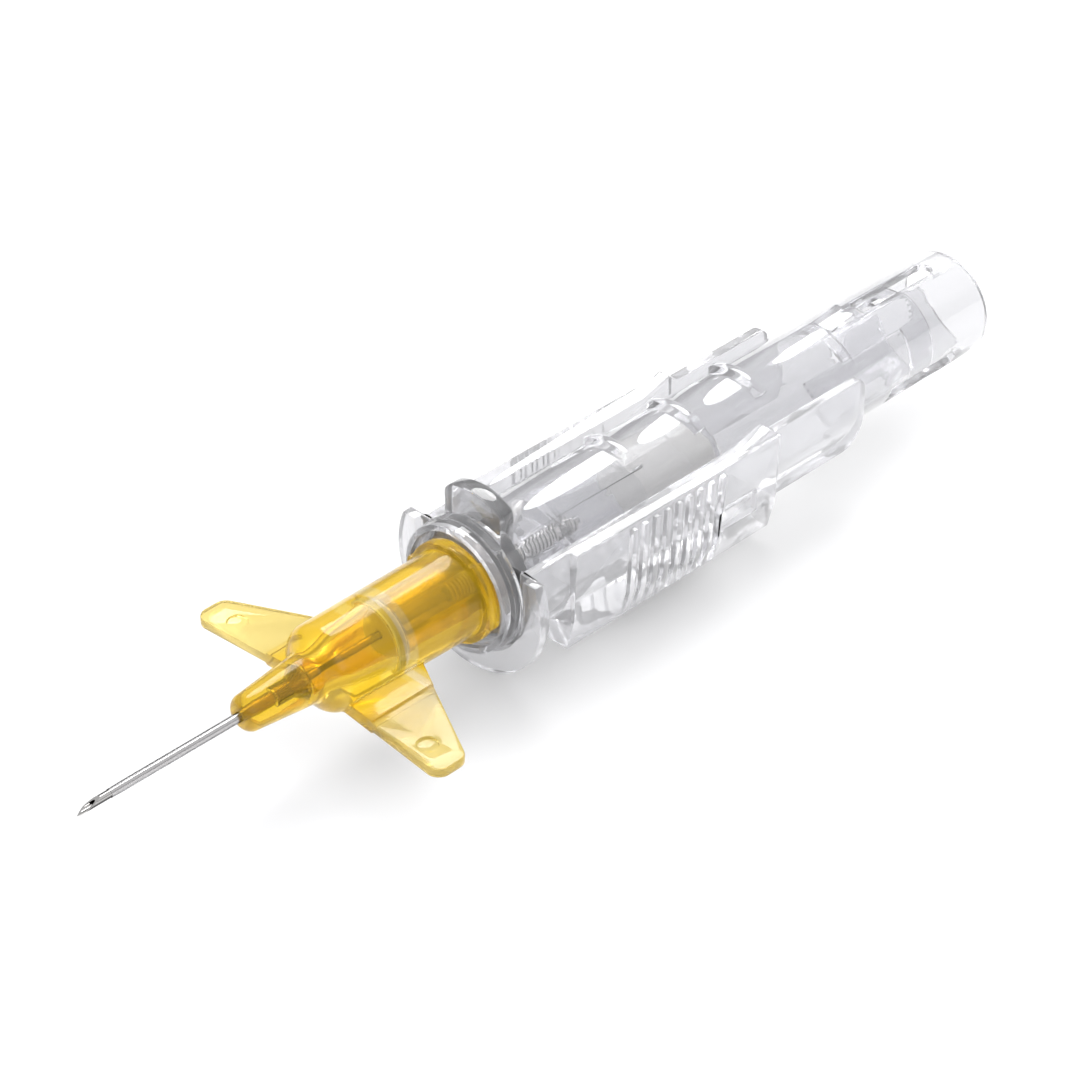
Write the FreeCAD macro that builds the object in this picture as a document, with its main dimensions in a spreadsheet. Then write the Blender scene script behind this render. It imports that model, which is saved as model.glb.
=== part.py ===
import FreeCAD, Part
import os
import Sketcher
from FreeCAD import Placement, Rotation, Vector

# Winged safety cannula. Lengths run along Y from the front face of the needle guard, which is
# the datum: the needle points to -Y, the guard tube to +Y. Heights and radii are taken from the
# axis of the needle. Every sub-part is then placed so that the origin lies on the resting plane,
# under the middle of the whole length. Millimetres.

os.makedirs("parts", exist_ok=True)
doc = FreeCAD.newDocument("Cannula")

SIZES = [
    # needle and catheter tube
    ("needle_radius", 0.30, "outer radius of the steel needle"),
    ("needle_bore_radius", 0.18, "lumen of the needle"),
    ("needle_reach", 34.5, "datum to the needle point"),
    ("needle_rear", 10.2, "datum to the open rear end of the needle"),
    ("bevel_angle", 17.5, "main grind of the point, from the axis"),
    ("lancet_angle", 26.0, "side grinds of the point, from the axis"),
    ("lancet_roll", 38.0, "side grinds turned about the axis"),
    ("catheter_radius", 0.35, "outer radius of the catheter tube, 24 gauge"),
    ("catheter_gap", 0.015, "running gap between needle and catheter tube"),
    ("catheter_reach", 31.8, "datum to the tapered tip of the catheter tube"),
    ("catheter_taper", 1.1, "length of the tapered tip"),
    ("catheter_tip_wall", 0.012, "wall at the very tip"),
    # wound sleeve on the needle
    ("sleeve_radius", 0.75, "outer radius of the sleeve on the needle"),
    ("sleeve_front", 2.4, "front end of the sleeve before the datum"),
    ("sleeve_rear", 9.8, "rear end of the sleeve behind the datum"),
    ("sleeve_pitch", 1.20, "distance between the grooves of the sleeve"),
    ("sleeve_groove", 0.14, "depth of the grooves of the sleeve"),
    # catheter hub
    ("hub_nose_reach", 20.8, "datum to the rounded end of the hub nose"),
    ("hub_nose_radius", 1.30, "radius of the nose at its end"),
    ("hub_nose_root_radius", 1.87, "radius of the nose where the shoulder starts"),
    ("hub_shoulder_front", 14.8, "datum to the foot of the shoulder"),
    ("hub_shoulder_length", 0.9, "length of the shoulder"),
    ("hub_radius", 3.27, "radius of the hub barrel behind the shoulder"),
    ("hub_rear_radius", 3.38, "radius of the hub barrel at its rear end"),
    ("hub_rear", 0.3, "gap between the hub and the datum face"),
    ("hub_flange_radius", 3.90, "radius of the round rear flange"),
    ("hub_flange_front", 1.6, "datum to the front of the rear flange"),
    ("hub_flange_width", 0.9, "width of the rear flange"),
    ("lug_radius", 4.25, "radius over the two connector lugs"),
    ("lug_sweep", 72.0, "arc of each lug"),
    ("lug_turn", -20.0, "middle of the near lug, from +X"),
    ("eyelet_front", 18.0, "datum to the front of the eyelet"),
    ("eyelet_length", 1.4, "straight length of the eyelet"),
    ("eyelet_flare_length", 1.2, "length of the flared end"),
    ("eyelet_radius", 0.50, "outer radius of the straight length"),
    ("eyelet_flare_radius", 1.0, "outer radius of the flared end"),
    ("eyelet_wall", 0.15, "wall of the eyelet"),
    ("cavity_front_radius", 1.15, "radius of the hub cavity behind the eyelet"),
    ("cavity_rear_radius", 1.70, "radius of the hub cavity before the seal"),
    ("seal_radius", 1.90, "radius of the seal ring in the hub"),
    ("seal_length", 0.85, "thickness of the seal ring"),
    ("seal_front", 8.6, "datum to the front face of the seal ring"),
    ("seal_gap", 0.05, "gap between the seal ring and the needle"),
    ("socket_mouth_radius", 2.15, "radius of the tapered socket at its mouth"),
    ("socket_taper", 0.03, "radius lost per millimetre of socket, a 6 percent taper"),
    # wings
    ("wing_span", 12.2, "axis to the tip of a wing"),
    ("wing_height", -1.85, "middle plane of the wings from the axis"),
    ("wing_root", 2.2, "axis to the buried root of a wing"),
    ("wing_band", 5.3, "axis to the outer edge of the thick root band"),
    ("wing_band_thickness", 1.1, "thickness of the root band"),
    ("wing_thickness", 0.75, "thickness of the wing panel"),
    ("wing_root_front", 13.6, "datum to the front of the root"),
    ("wing_root_rear", 6.5, "datum to the rear of the root"),
    ("wing_tip_front", 14.4, "datum to the front corner of the tip"),
    ("wing_tip_rear", 11.7, "datum to the rear corner of the tip"),
    ("wing_corner", 1.0, "round corners of the tip"),
    ("dimple_out", 9.5, "axis to the middle of the dimple"),
    ("dimple_back", 12.7, "datum to the middle of the dimple"),
    ("dimple_radius", 0.75, "radius of the dimple"),
    ("dimple_depth", 0.2, "depth of the dimple"),
    # needle guard
    ("guard_radius", 4.33, "outer radius of the guard tube"),
    ("guard_wall", 0.69, "wall of the guard tube"),
    ("guard_length", 52.1, "datum to the open rear end of the guard"),
    ("guard_rear_wall", 0.65, "wall of the guard behind the core joint"),
    ("core_joint_depth", 16.5, "rear end to the step in the bore where the two cores met"),
    ("nose_reach", 7.6, "datum to the front end of the nose"),
    ("nose_gap", 0.03, "gap between the nose and the hub socket"),
    ("nose_bore_radius", 0.85, "bore of the nose"),
    ("front_wall", 2.6, "thickness of the closed front of the guard"),
    ("disc_radius", 5.1, "radius of the front disc"),
    ("disc_thickness", 0.75, "thickness of the front disc"),
    ("collar_radius", 4.95, "outer radius of the collar round the hub flange"),
    ("collar_bore_radius", 4.45, "inner radius of the collar"),
    ("collar_depth", 1.0, "height of the collar before the datum"),
    ("tab_half_width", 2.75, "half width of the push-off tab"),
    ("tab_thickness", 1.35, "thickness of the push-off tab"),
    ("tab_root_height", 3.0, "buried foot of the tab above the axis"),
    ("tab_corner_height", 6.6, "corners of the tab above the axis"),
    ("tab_top_height", 7.4, "crown of the tab above the axis"),
    ("tab_corner_round", 0.8, "rounding of the upper corners of the tab"),
    ("hoop_radius", 4.87, "radius of the raised hoops on the tube"),
    ("hoop_width", 1.3, "width of a hoop at its foot"),
    ("hoop_crown", 0.7, "width of a hoop at its top"),
    ("hoop_sweep", 66.0, "arc of a hoop over the top"),
    ("hoop_first", 14.7, "datum to the middle of the first hoop"),
    ("hoop_pitch", 6.6, "distance between hoops"),
    ("hoop_count", 3, "hoops on the tube"),
    ("latch_depth", 14.9, "rear end of the guard to the front of the wedge latch"),
    ("latch_length", 2.8, "length of the wedge latch"),
    ("latch_half_width", 0.95, "half width of the wedge latch"),
    ("latch_rise", 0.45, "height of the wedge latch"),
    ("top_window_depth", 10.8, "rear end of the guard to the front of the top window"),
    ("top_window_length", 8.5, "length of the top window"),
    ("top_window_half_width", 0.72, "half width of the top window"),
    ("side_window_depth", 11.1, "rear end of the guard to the front of the side windows"),
    ("side_window_length", 7.8, "length of the side windows"),
    ("side_window_half_width", 1.25, "half width of the side windows"),
    ("side_window_turn", 120.0, "middle of each side window, from straight up"),
    ("side_window_corner", 1.0, "rounding of the rear corners of the side windows"),
    ("travel", 28.0, "slide of the guard that covers the needle"),
    ("slot_gap", 0.2, "gap between the web and the guard slot"),
    # lock insert
    ("insert_depth", 8.8, "rear end of the guard to the front of the insert ring"),
    ("insert_length", 2.7, "length of the insert ring"),
    ("insert_bore_radius", 3.25, "bore of the insert"),
    ("finger_depth", 15.5, "rear end of the guard to the front ends of the fingers"),
    ("finger_sweep", 36.0, "arc of each finger"),
    ("finger_turn", 28.0, "middle of each finger, from straight up or down"),
    # flash chamber
    ("boss_radius", 1.7, "radius of the boss that holds the needle"),
    ("boss_front", 4.4, "datum to the front of the boss"),
    ("chamber_front", 6.6, "datum to the front of the chamber"),
    ("chamber_front_wall", 1.4, "front wall of the chamber"),
    ("chamber_radius", 3.1, "outer radius of the chamber"),
    ("chamber_wall", 0.45, "wall of the chamber"),
    ("chamber_rear", 22.8, "datum to the rear end of the chamber"),
    ("plug_front", 15.2, "datum to the front face of the vent plug"),
    ("plug_length", 7.2, "length of the vent plug"),
    ("web_front", 5.2, "datum to the front of the web under the chamber"),
    ("web_length", 2.0, "length of the web"),
    ("web_half_width", 0.8, "half width of the web"),
    ("web_foot", 0.75, "depth of the web in the handle floor"),
    # handle
    ("guide_gap", 0.1, "gap between the guard tube and the channel"),
    ("rail_height", 2.7, "top of the rails above the axis"),
    ("flange_radius", 7.1, "radius of the U-shaped front flange"),
    ("flange_front", 0.3, "datum to the front face of the flange"),
    ("flange_thickness", 0.9, "thickness of the front flange"),
    ("flange_ear_height", 2.75, "top of the flange ears above the axis"),
    ("flange_gap", 0.2, "gap round the guard disc in the flange"),
    ("disc_seat_gap", 0.15, "gap behind the guard disc"),
    ("neck_radius", 5.2, "outer radius of the neck behind the flange"),
    ("grip_front", 5.1, "datum to the front face of the grip"),
    ("grip_rear", 26.3, "datum to the rear face of the grip"),
    ("grip_half_width", 5.9, "half width of the grip at its rails"),
    ("grip_ledge_half_width", 5.6, "half width of the grip at the ledge line"),
    ("grip_foot_half_width", 4.95, "half width of the flat underside"),
    ("grip_ledge", 3.2, "ledge line of the grip below the axis"),
    ("floor_thickness", 1.4, "floor of the channel"),
    ("rib_first", 10.4, "datum to the first finger rib"),
    ("rib_pitch", 1.15, "distance between finger ribs"),
    ("rib_count", 9, "finger ribs on each side"),
    ("rib_width", 0.62, "width of a finger rib"),
    ("rib_rise", 0.35, "height of a finger rib"),
    ("recess_front", 19.7, "datum to the front of the side recess"),
    ("recess_length", 4.3, "length of the side recess"),
    ("recess_top", 1.0, "top of the side recess below the axis"),
    ("recess_height", 1.9, "height of the side recess"),
    ("recess_depth", 0.4, "depth of the side recess below the ledge line"),
    ("catch_front", 22.6, "datum to the foot of the ramp of the rail catch"),
    ("catch_crest", 25.4, "datum to the crest of the rail catch"),
    ("catch_rise", 0.7, "height of the rail catch"),
    ("wall_rear", 36.4, "datum to the rear end of the thin side walls"),
    ("wall_thickness", 0.85, "thickness of the thin side walls"),
    ("wall_drop", 3.0, "lower edge of the thin side walls below the axis"),
    ("wall_corner", 2.4, "large lower corner of the thin side walls"),
    ("wall_top_corner", 0.9, "small upper corner of the thin side walls"),
    # all mouldings
    ("bury", 0.25, "depth by which a raised feature is sunk into its base"),
]

sheet = doc.addObject("Spreadsheet::Sheet", "Sizes")
for row, (alias, size, meaning) in enumerate(SIZES, start=1):
    sheet.set(f"A{row}", alias)
    sheet.set(f"B{row}", str(size))
    sheet.set(f"C{row}", meaning)
    sheet.setAlias(f"B{row}", alias)
doc.recompute()

ALIASES = sorted((alias for alias, size, meaning in SIZES), key=len, reverse=True)


def named(text):
    """An expression of the document in which every size is read from the sheet."""
    words = []
    word = ""
    for letter in str(text) + " ":
        if letter.isalnum() or letter == "_":
            word += letter
            continue
        words.append(f"Sizes.{word}" if word in ALIASES else word)
        words.append(letter)
        word = ""
    return "".join(words).strip()


def number(text):
    """The value that an expression has now."""
    return float(sheet.evalExpression(named(text)))


# sizes that follow from the driving ones
GUARD_BORE = "(guard_radius - guard_wall)"
GUARD_REAR_BORE = "(guard_radius - guard_rear_wall)"
CHANNEL = "(guard_radius + guide_gap)"
FLOOR_BOTTOM = "(guard_radius + guide_gap + floor_thickness)"
CATHETER_BORE = "(needle_radius + catheter_gap)"
SEAL_REAR = "(seal_front - seal_length)"
SOCKET_BOTTOM = "(socket_mouth_radius - socket_taper * (seal_front - seal_length - hub_rear))"
EYELET_REAR = "(eyelet_front - eyelet_length - eyelet_flare_length)"
WEB_REAR = "(web_front + web_length)"
WEB_BOTTOM = "(guard_radius + guide_gap + web_foot)"
CHAMBER_BORE = "(chamber_radius - chamber_wall)"
CORE_JOINT = "(guard_length - core_joint_depth)"
LATCH_FRONT = "(guard_length - latch_depth)"
TOP_WINDOW_FRONT = "(guard_length - top_window_depth)"
SIDE_WINDOW_FRONT = "(guard_length - side_window_depth)"
INSERT_FRONT = "(guard_length - insert_depth)"
FINGER_FRONT = "(guard_length - finger_depth)"
DATUM_Y = "((needle_reach - guard_length) / 2)"
AXIS_HEIGHT = "flange_radius"
OPEN_TOP = "(2 * flange_radius)"


def place(thing):
    """Stand a sub-part on the resting plane, centred on the whole length."""
    thing.setExpression("Placement.Base.y", named(DATUM_Y))
    thing.setExpression("Placement.Base.z", named(AXIS_HEIGHT))


def new_body(label):
    body = doc.addObject("PartDesign::Body", label)
    body.Label = label
    place(body)
    return body


def origin_part(body, role):
    return next(part for part in body.Origin.OriginFeatures if part.Role == role)


def new_sketch(body, name, role, offset="0", turn="0"):
    """A sketch on an origin plane, moved along its normal and turned about its own X."""
    sketch = body.newObject("Sketcher::SketchObject", name)
    sketch.AttachmentSupport = [(origin_part(body, role), "")]
    sketch.MapMode = "FlatFace"
    if turn != "0":
        sketch.AttachmentOffset = Placement(Vector(), Rotation(Vector(1, 0, 0), number(turn)))
        sketch.setExpression("AttachmentOffset.Rotation.Angle", named(turn))
    if offset != "0":
        sketch.setExpression("AttachmentOffset.Base.z", named(offset))
    return sketch


def pin(sketch, geometry, spot, across, up):
    """Tie a point of the sketch to two expressions."""
    for kind, text in (("DistanceX", across), ("DistanceY", up)):
        index = sketch.addConstraint(Sketcher.Constraint(kind, -1, 1, geometry, spot, number(text)))
        sketch.setExpression(f"Constraints[{index}]", named(text))


def outline(sketch, corners):
    """A closed outline of straight edges through corners given as pairs of expressions."""
    first = sketch.GeometryCount
    spots = [Vector(number(across), number(up), 0) for across, up in corners]
    count = len(spots)
    edges = [Part.LineSegment(spots[i], spots[(i + 1) % count]) for i in range(count)]
    sketch.addGeometry(edges, False)
    for i in range(count):
        following = first + (i + 1) % count
        sketch.addConstraint(Sketcher.Constraint("Coincident", first + i, 2, following, 1))
    for i, (across, up) in enumerate(corners):
        pin(sketch, first + i, 1, across, up)


def box(sketch, left, right, bottom, top):
    outline(sketch, [(left, bottom), (right, bottom), (right, top), (left, top)])


def circle(sketch, radius, across="0", up="0"):
    middle = Vector(number(across), number(up), 0)
    index = sketch.addGeometry(Part.Circle(middle, Vector(0, 0, 1), number(radius)), False)
    pin(sketch, index, 3, across, up)
    constraint = sketch.addConstraint(Sketcher.Constraint("Radius", index, number(radius)))
    sketch.setExpression(f"Constraints[{constraint}]", named(radius))


def along(body, name, start, end, kind="PartDesign::Pad"):
    """A feature that runs along Y from start to end; its sketch lies in X and Z."""
    sketch = new_sketch(body, f"{name}_sketch", "XZ_Plane", f"-({start})")
    feature = body.newObject(kind, name)
    feature.Profile = sketch
    feature.setExpression("Length", named(f"({end}) - ({start})"))
    feature.Reversed = kind == "PartDesign::Pad"
    return sketch


def upright(body, name, start, end, kind="PartDesign::Pad"):
    """A feature that rises along Z from start to end; its sketch lies in X and Y."""
    sketch = new_sketch(body, f"{name}_sketch", "XY_Plane", start)
    feature = body.newObject(kind, name)
    feature.Profile = sketch
    feature.setExpression("Length", named(f"({end}) - ({start})"))
    feature.Reversed = kind == "PartDesign::Pocket"
    return sketch


def sideways(body, name, half_width, kind="PartDesign::Pad", turn="0"):
    """A feature that reaches half_width to both sides; its sketch lies in Y and Z."""
    sketch = new_sketch(body, f"{name}_sketch", "YZ_Plane", turn=turn)
    feature = body.newObject(kind, name)
    feature.Profile = sketch
    feature.SideType = "Symmetric"
    feature.setExpression("Length", named(f"2 * ({half_width})"))
    return sketch


def turned(body, name, corners, kind="PartDesign::Revolution", sweep="360", turn="0"):
    """A profile in Y and radius, turned about the needle axis."""
    sketch = new_sketch(body, f"{name}_sketch", "YZ_Plane", turn=turn)
    outline(sketch, corners)
    feature = body.newObject(kind, name)
    feature.Profile = sketch
    feature.ReferenceAxis = (sketch, ["H_Axis"])
    feature.setExpression("Angle", named(sweep))
    feature.Midplane = sweep != "360"
    return feature


def repeat(body, name, feature, role, pitch, count):
    pattern = body.newObject("PartDesign::LinearPattern", name)
    pattern.Originals = [feature]
    pattern.Direction = (origin_part(body, role), [""])
    pattern.Mode = "Spacing"
    pattern.setExpression("Offset", named(pitch))
    pattern.setExpression("Occurrences", named(count))
    body.Tip = pattern
    return pattern


def mirror(body, name, feature):
    twin = body.newObject("PartDesign::Mirrored", name)
    twin.Originals = [feature]
    twin.MirrorPlane = (origin_part(body, "YZ_Plane"), [""])
    body.Tip = twin
    return twin


def edges_where(feature, test):
    """Names of the edges of a computed feature whose middle point passes the test."""
    doc.recompute()
    found = []
    for index, edge in enumerate(feature.Shape.Edges, start=1):
        middle = edge.valueAt((edge.FirstParameter + edge.LastParameter) / 2)
        if test(edge, middle):
            found.append(f"Edge{index}")
    if not found:
        raise RuntimeError(f"no edges found on {feature.Name}")
    return found


def rounded(body, name, feature, radius, test):
    fillet = body.newObject("PartDesign::Fillet", name)
    fillet.Base = (feature, edges_where(feature, test))
    fillet.setExpression("Radius", named(radius))
    body.Tip = fillet
    return fillet


def is_ring(edge, middle, back, radius):
    """True for a circle about the axis at this distance from the datum."""
    curve = edge.Curve
    if not isinstance(curve, Part.Circle):
        return False
    return abs(curve.Center.y - number(back)) < 1e-4 and abs(curve.Radius - number(radius)) < 1e-4


# Steel needle, a tube whose point has one main grind and two side grinds that face up
def make_needle():
    body = new_body("needle")
    sketch = along(body, "tube", "-needle_reach", "needle_rear")
    circle(sketch, "needle_radius")
    circle(sketch, "needle_bore_radius")
    grinds = (
        ("main_grind", "bevel_angle", "0", "-needle_radius"),
        ("left_grind", "lancet_angle", "lancet_roll", "-needle_radius * cos(lancet_roll * 1deg)"),
        ("right_grind", "lancet_angle", "-lancet_roll", "-needle_radius * cos(lancet_roll * 1deg)"),
    )
    for name, angle, roll, foot in grinds:
        # all that lies above the ground plane, which rises rearwards from the point
        sketch = sideways(body, name, "4 * needle_radius", "PartDesign::Pocket", roll)
        ahead = "-needle_reach - needle_radius"
        top = "3 * needle_radius"
        rear = f"-needle_reach + (3 * needle_radius - ({foot})) / tan({angle} * 1deg)"
        outline(sketch, [(ahead, foot), ("-needle_reach", foot), (rear, top), (ahead, top)])
    return body


# Wound sleeve on the needle, where the clear boss grips it
def make_needle_sleeve():
    body = new_body("needle_sleeve")
    sketch = along(body, "sleeve", "-sleeve_front", "sleeve_rear")
    circle(sketch, "sleeve_radius")
    circle(sketch, "needle_radius")
    middle = "-sleeve_front + sleeve_pitch"
    groove = turned(body, "groove", [
        (f"{middle} - sleeve_groove", "sleeve_radius"),
        (middle, "sleeve_radius - sleeve_groove"),
        (f"{middle} + sleeve_groove", "sleeve_radius"),
        (middle, "sleeve_radius + sleeve_groove"),
    ], "PartDesign::Groove")
    turns = "floor((sleeve_front + sleeve_rear) / sleeve_pitch - 1)"
    repeat(body, "grooves", groove, "Y_Axis", "sleeve_pitch", turns)
    return body


# Clear tube that stays in the vein, tapered down onto the needle at its tip
def make_catheter_tube():
    body = new_body("catheter_tube")
    turned(body, "tube", [
        ("-catheter_reach", CATHETER_BORE),
        (f"-{EYELET_REAR} - eyelet_flare_length", CATHETER_BORE),
        (f"-{EYELET_REAR} - eyelet_flare_length", "catheter_radius"),
        ("-catheter_reach + catheter_taper", "catheter_radius"),
        ("-catheter_reach", f"{CATHETER_BORE} + catheter_tip_wall"),
    ])
    return body


# Metal eyelet that wedges the tube into the hub nose
def make_eyelet():
    body = new_body("eyelet")
    flare = f"-{EYELET_REAR} - eyelet_flare_length"
    turned(body, "eyelet", [
        ("-eyelet_front", "catheter_radius"),
        (flare, "catheter_radius"),
        (f"-{EYELET_REAR}", "eyelet_flare_radius - eyelet_wall"),
        (f"-{EYELET_REAR}", "eyelet_flare_radius"),
        (flare, "eyelet_radius"),
        ("-eyelet_front", "eyelet_radius"),
    ])
    return body


# Coloured hub with its two wings, one moulding round the tapered socket
def make_catheter_hub():
    body = new_body("catheter_hub")
    flange_rear = "-hub_flange_front + hub_flange_width"
    shoulder_rear = "-hub_shoulder_front + hub_shoulder_length"
    barrel = turned(body, "barrel", [
        ("-hub_nose_reach", "0"),
        ("-hub_nose_reach", "hub_nose_radius"),
        ("-hub_shoulder_front", "hub_nose_root_radius"),
        (shoulder_rear, "hub_radius"),
        ("-hub_flange_front", "hub_rear_radius"),
        ("-hub_flange_front", "hub_flange_radius"),
        (flange_rear, "hub_flange_radius"),
        (flange_rear, "hub_rear_radius"),
        ("-hub_rear", "hub_rear_radius"),
        ("-hub_rear", "0"),
    ])
    nose = rounded(body, "nose_round", barrel, "hub_nose_radius * 0.62",
                   lambda edge, middle: is_ring(edge, middle, "-hub_nose_reach", "hub_nose_radius"))
    rounded(body, "shoulder_round", nose, "hub_radius * 0.4",
            lambda edge, middle: is_ring(edge, middle, shoulder_rear, "hub_radius"))
    for name, turn in (("near_lug", "lug_turn - 90"), ("far_lug", "lug_turn + 90")):
        turned(body, name, [
            ("-hub_flange_front", "hub_rear_radius - bury"),
            ("-hub_flange_front", "lug_radius"),
            (flange_rear, "lug_radius"),
            (flange_rear, "hub_rear_radius - bury"),
        ], sweep="lug_sweep", turn=turn)
    half = "wing_thickness / 2"
    band = "wing_band_thickness / 2"
    wings = upright(body, "panel", f"wing_height - {half}", f"wing_height + {half}")
    wing_outline(wings, "wing_span")
    rounded(body, "tip_round", body.Tip, "wing_corner", is_wing_corner)
    bands = upright(body, "band", f"wing_height - {band}", f"wing_height + {band}")
    wing_outline(bands, "wing_band")
    dimples = upright(body, "dimple", f"wing_height + {half} - dimple_depth",
                      f"wing_height + {half} + dimple_depth", "PartDesign::Pocket")
    circle(dimples, "dimple_radius", "dimple_out", "-dimple_back")
    circle(dimples, "dimple_radius", "-dimple_out", "-dimple_back")
    turned(body, "inside", [
        ("-hub_nose_reach - 1", "0"),
        ("-hub_nose_reach - 1", "catheter_radius"),
        ("-eyelet_front", "catheter_radius"),
        ("-eyelet_front", "eyelet_radius"),
        (f"-{EYELET_REAR} - eyelet_flare_length", "eyelet_radius"),
        (f"-{EYELET_REAR}", "eyelet_flare_radius"),
        (f"-{EYELET_REAR}", "cavity_front_radius"),
        ("-seal_front", "cavity_rear_radius"),
        ("-seal_front", "seal_radius"),
        (f"-{SEAL_REAR}", "seal_radius"),
        (f"-{SEAL_REAR}", SOCKET_BOTTOM),
        ("-hub_rear", "socket_mouth_radius"),
        ("1", "socket_mouth_radius"),
        ("1", "0"),
    ], "PartDesign::Groove")
    return body


def wing_outline(sketch, reach):
    """Both wings out to reach: a nearly straight front, a swept rear, joined through the barrel."""
    share = f"(({reach}) - wing_root) / (wing_span - wing_root)"
    front = f"-wing_root_front - (wing_tip_front - wing_root_front) * {share}"
    rear = f"-wing_root_rear - (wing_tip_rear - wing_root_rear) * {share}"
    outline(sketch, [
        (f"-({reach})", front),
        ("-wing_root", "-wing_root_front"),
        ("wing_root", "-wing_root_front"),
        (reach, front),
        (reach, rear),
        ("wing_root", "-wing_root_rear"),
        ("-wing_root", "-wing_root_rear"),
        (f"-({reach})", rear),
    ])


def is_wing_corner(edge, middle):
    """True for the upright edges at the tips of the wings."""
    length = abs(edge.Vertexes[0].Z - edge.Vertexes[-1].Z)
    return length > number("wing_thickness") / 2 and abs(abs(middle.x) - number("wing_span")) < 1e-3


# Ring that seals the hub round the needle
def make_hub_seal():
    body = new_body("hub_seal")
    sketch = along(body, "ring", "-seal_front", f"-{SEAL_REAR}")
    circle(sketch, "seal_radius")
    circle(sketch, "needle_radius + seal_gap")
    return body


# Clear guard: tapered nose in the hub, front disc with the push-off tab, long tube with hoops
def make_needle_guard():
    body = new_body("needle_guard")
    nose_front = f"{SOCKET_BOTTOM} - nose_gap"
    nose_root = "socket_mouth_radius + socket_taper * hub_rear - nose_gap"
    turned(body, "tube", [
        ("-nose_reach", "nose_bore_radius"),
        ("-nose_reach", nose_front),
        ("0", nose_root),
        ("0", "collar_bore_radius"),
        ("-collar_depth", "collar_bore_radius"),
        ("-collar_depth", "collar_radius"),
        ("0", "collar_radius"),
        ("0", "disc_radius"),
        ("disc_thickness", "disc_radius"),
        ("disc_thickness", "guard_radius"),
        ("guard_length", "guard_radius"),
        ("guard_length", GUARD_REAR_BORE),
        (CORE_JOINT, GUARD_REAR_BORE),
        (CORE_JOINT, GUARD_BORE),
        ("front_wall", GUARD_BORE),
        ("front_wall", "nose_bore_radius"),
    ])
    tab = along(body, "tab", "disc_thickness", "disc_thickness + tab_thickness")
    arched(tab, "tab_half_width", "tab_root_height", "tab_corner_height", "tab_top_height")
    rounded(body, "tab_corners", body.Tip, "tab_corner_round", is_tab_corner)
    hoop = turned(body, "hoop", [
        ("hoop_first - hoop_width / 2", "guard_radius - bury"),
        ("hoop_first - hoop_width / 2", "guard_radius"),
        ("hoop_first - hoop_crown / 2", "hoop_radius"),
        ("hoop_first + hoop_crown / 2", "hoop_radius"),
        ("hoop_first + hoop_width / 2", "guard_radius"),
        ("hoop_first + hoop_width / 2", "guard_radius - bury"),
    ], sweep="hoop_sweep", turn="0")
    repeat(body, "hoops", hoop, "Y_Axis", "hoop_pitch", "hoop_count")
    latch = sideways(body, "latch", "latch_half_width")
    outline(latch, [
        (LATCH_FRONT, "guard_radius - bury"),
        (LATCH_FRONT, "guard_radius"),
        (f"{LATCH_FRONT} + latch_length", "guard_radius + latch_rise"),
        (f"{LATCH_FRONT} + latch_length", "guard_radius - bury"),
    ])
    slot = upright(body, "web_slot", "-guard_radius - 1", "0", "PartDesign::Pocket")
    half_slot = "web_half_width + slot_gap"
    slot_rear = f"{WEB_REAR} + travel + slot_gap"
    box(slot, f"-({half_slot})", half_slot, "web_front - slot_gap", slot_rear)
    window_end = f"{TOP_WINDOW_FRONT} + top_window_length - top_window_half_width"
    window = upright(body, "top_window", "1", "guard_radius + 1", "PartDesign::Pocket")
    box(window, "-top_window_half_width", "top_window_half_width", TOP_WINDOW_FRONT, window_end)
    window_round = upright(body, "top_window_round", "1", "guard_radius + 1", "PartDesign::Pocket")
    circle(window_round, "top_window_half_width", "0", window_end)
    side_rear = f"{SIDE_WINDOW_FRONT} + side_window_length"
    for name, turn in (("near_window", "side_window_turn"), ("far_window", "-side_window_turn")):
        side = sideways(body, name, "side_window_half_width", "PartDesign::Pocket", turn)
        box(side, SIDE_WINDOW_FRONT, side_rear, "1", "guard_radius + 1")
    corners = lambda edge, middle: is_window_corner(edge, middle, side_rear)
    rounded(body, "window_corners", body.Tip, "side_window_corner", corners)
    return body


def is_tab_corner(edge, middle):
    """The two edges along the needle axis where the sides of the tab meet its arch."""
    at_corner = abs(middle.z - number("tab_corner_height")) < 1e-3
    return at_corner and abs(edge.Length - number("tab_thickness")) < 1e-3


def is_window_corner(edge, middle, rear):
    """The upright edges at the rear ends of the side windows."""
    return abs(middle.y - number(rear)) < 1e-3 and edge.Length < 1.2


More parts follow.
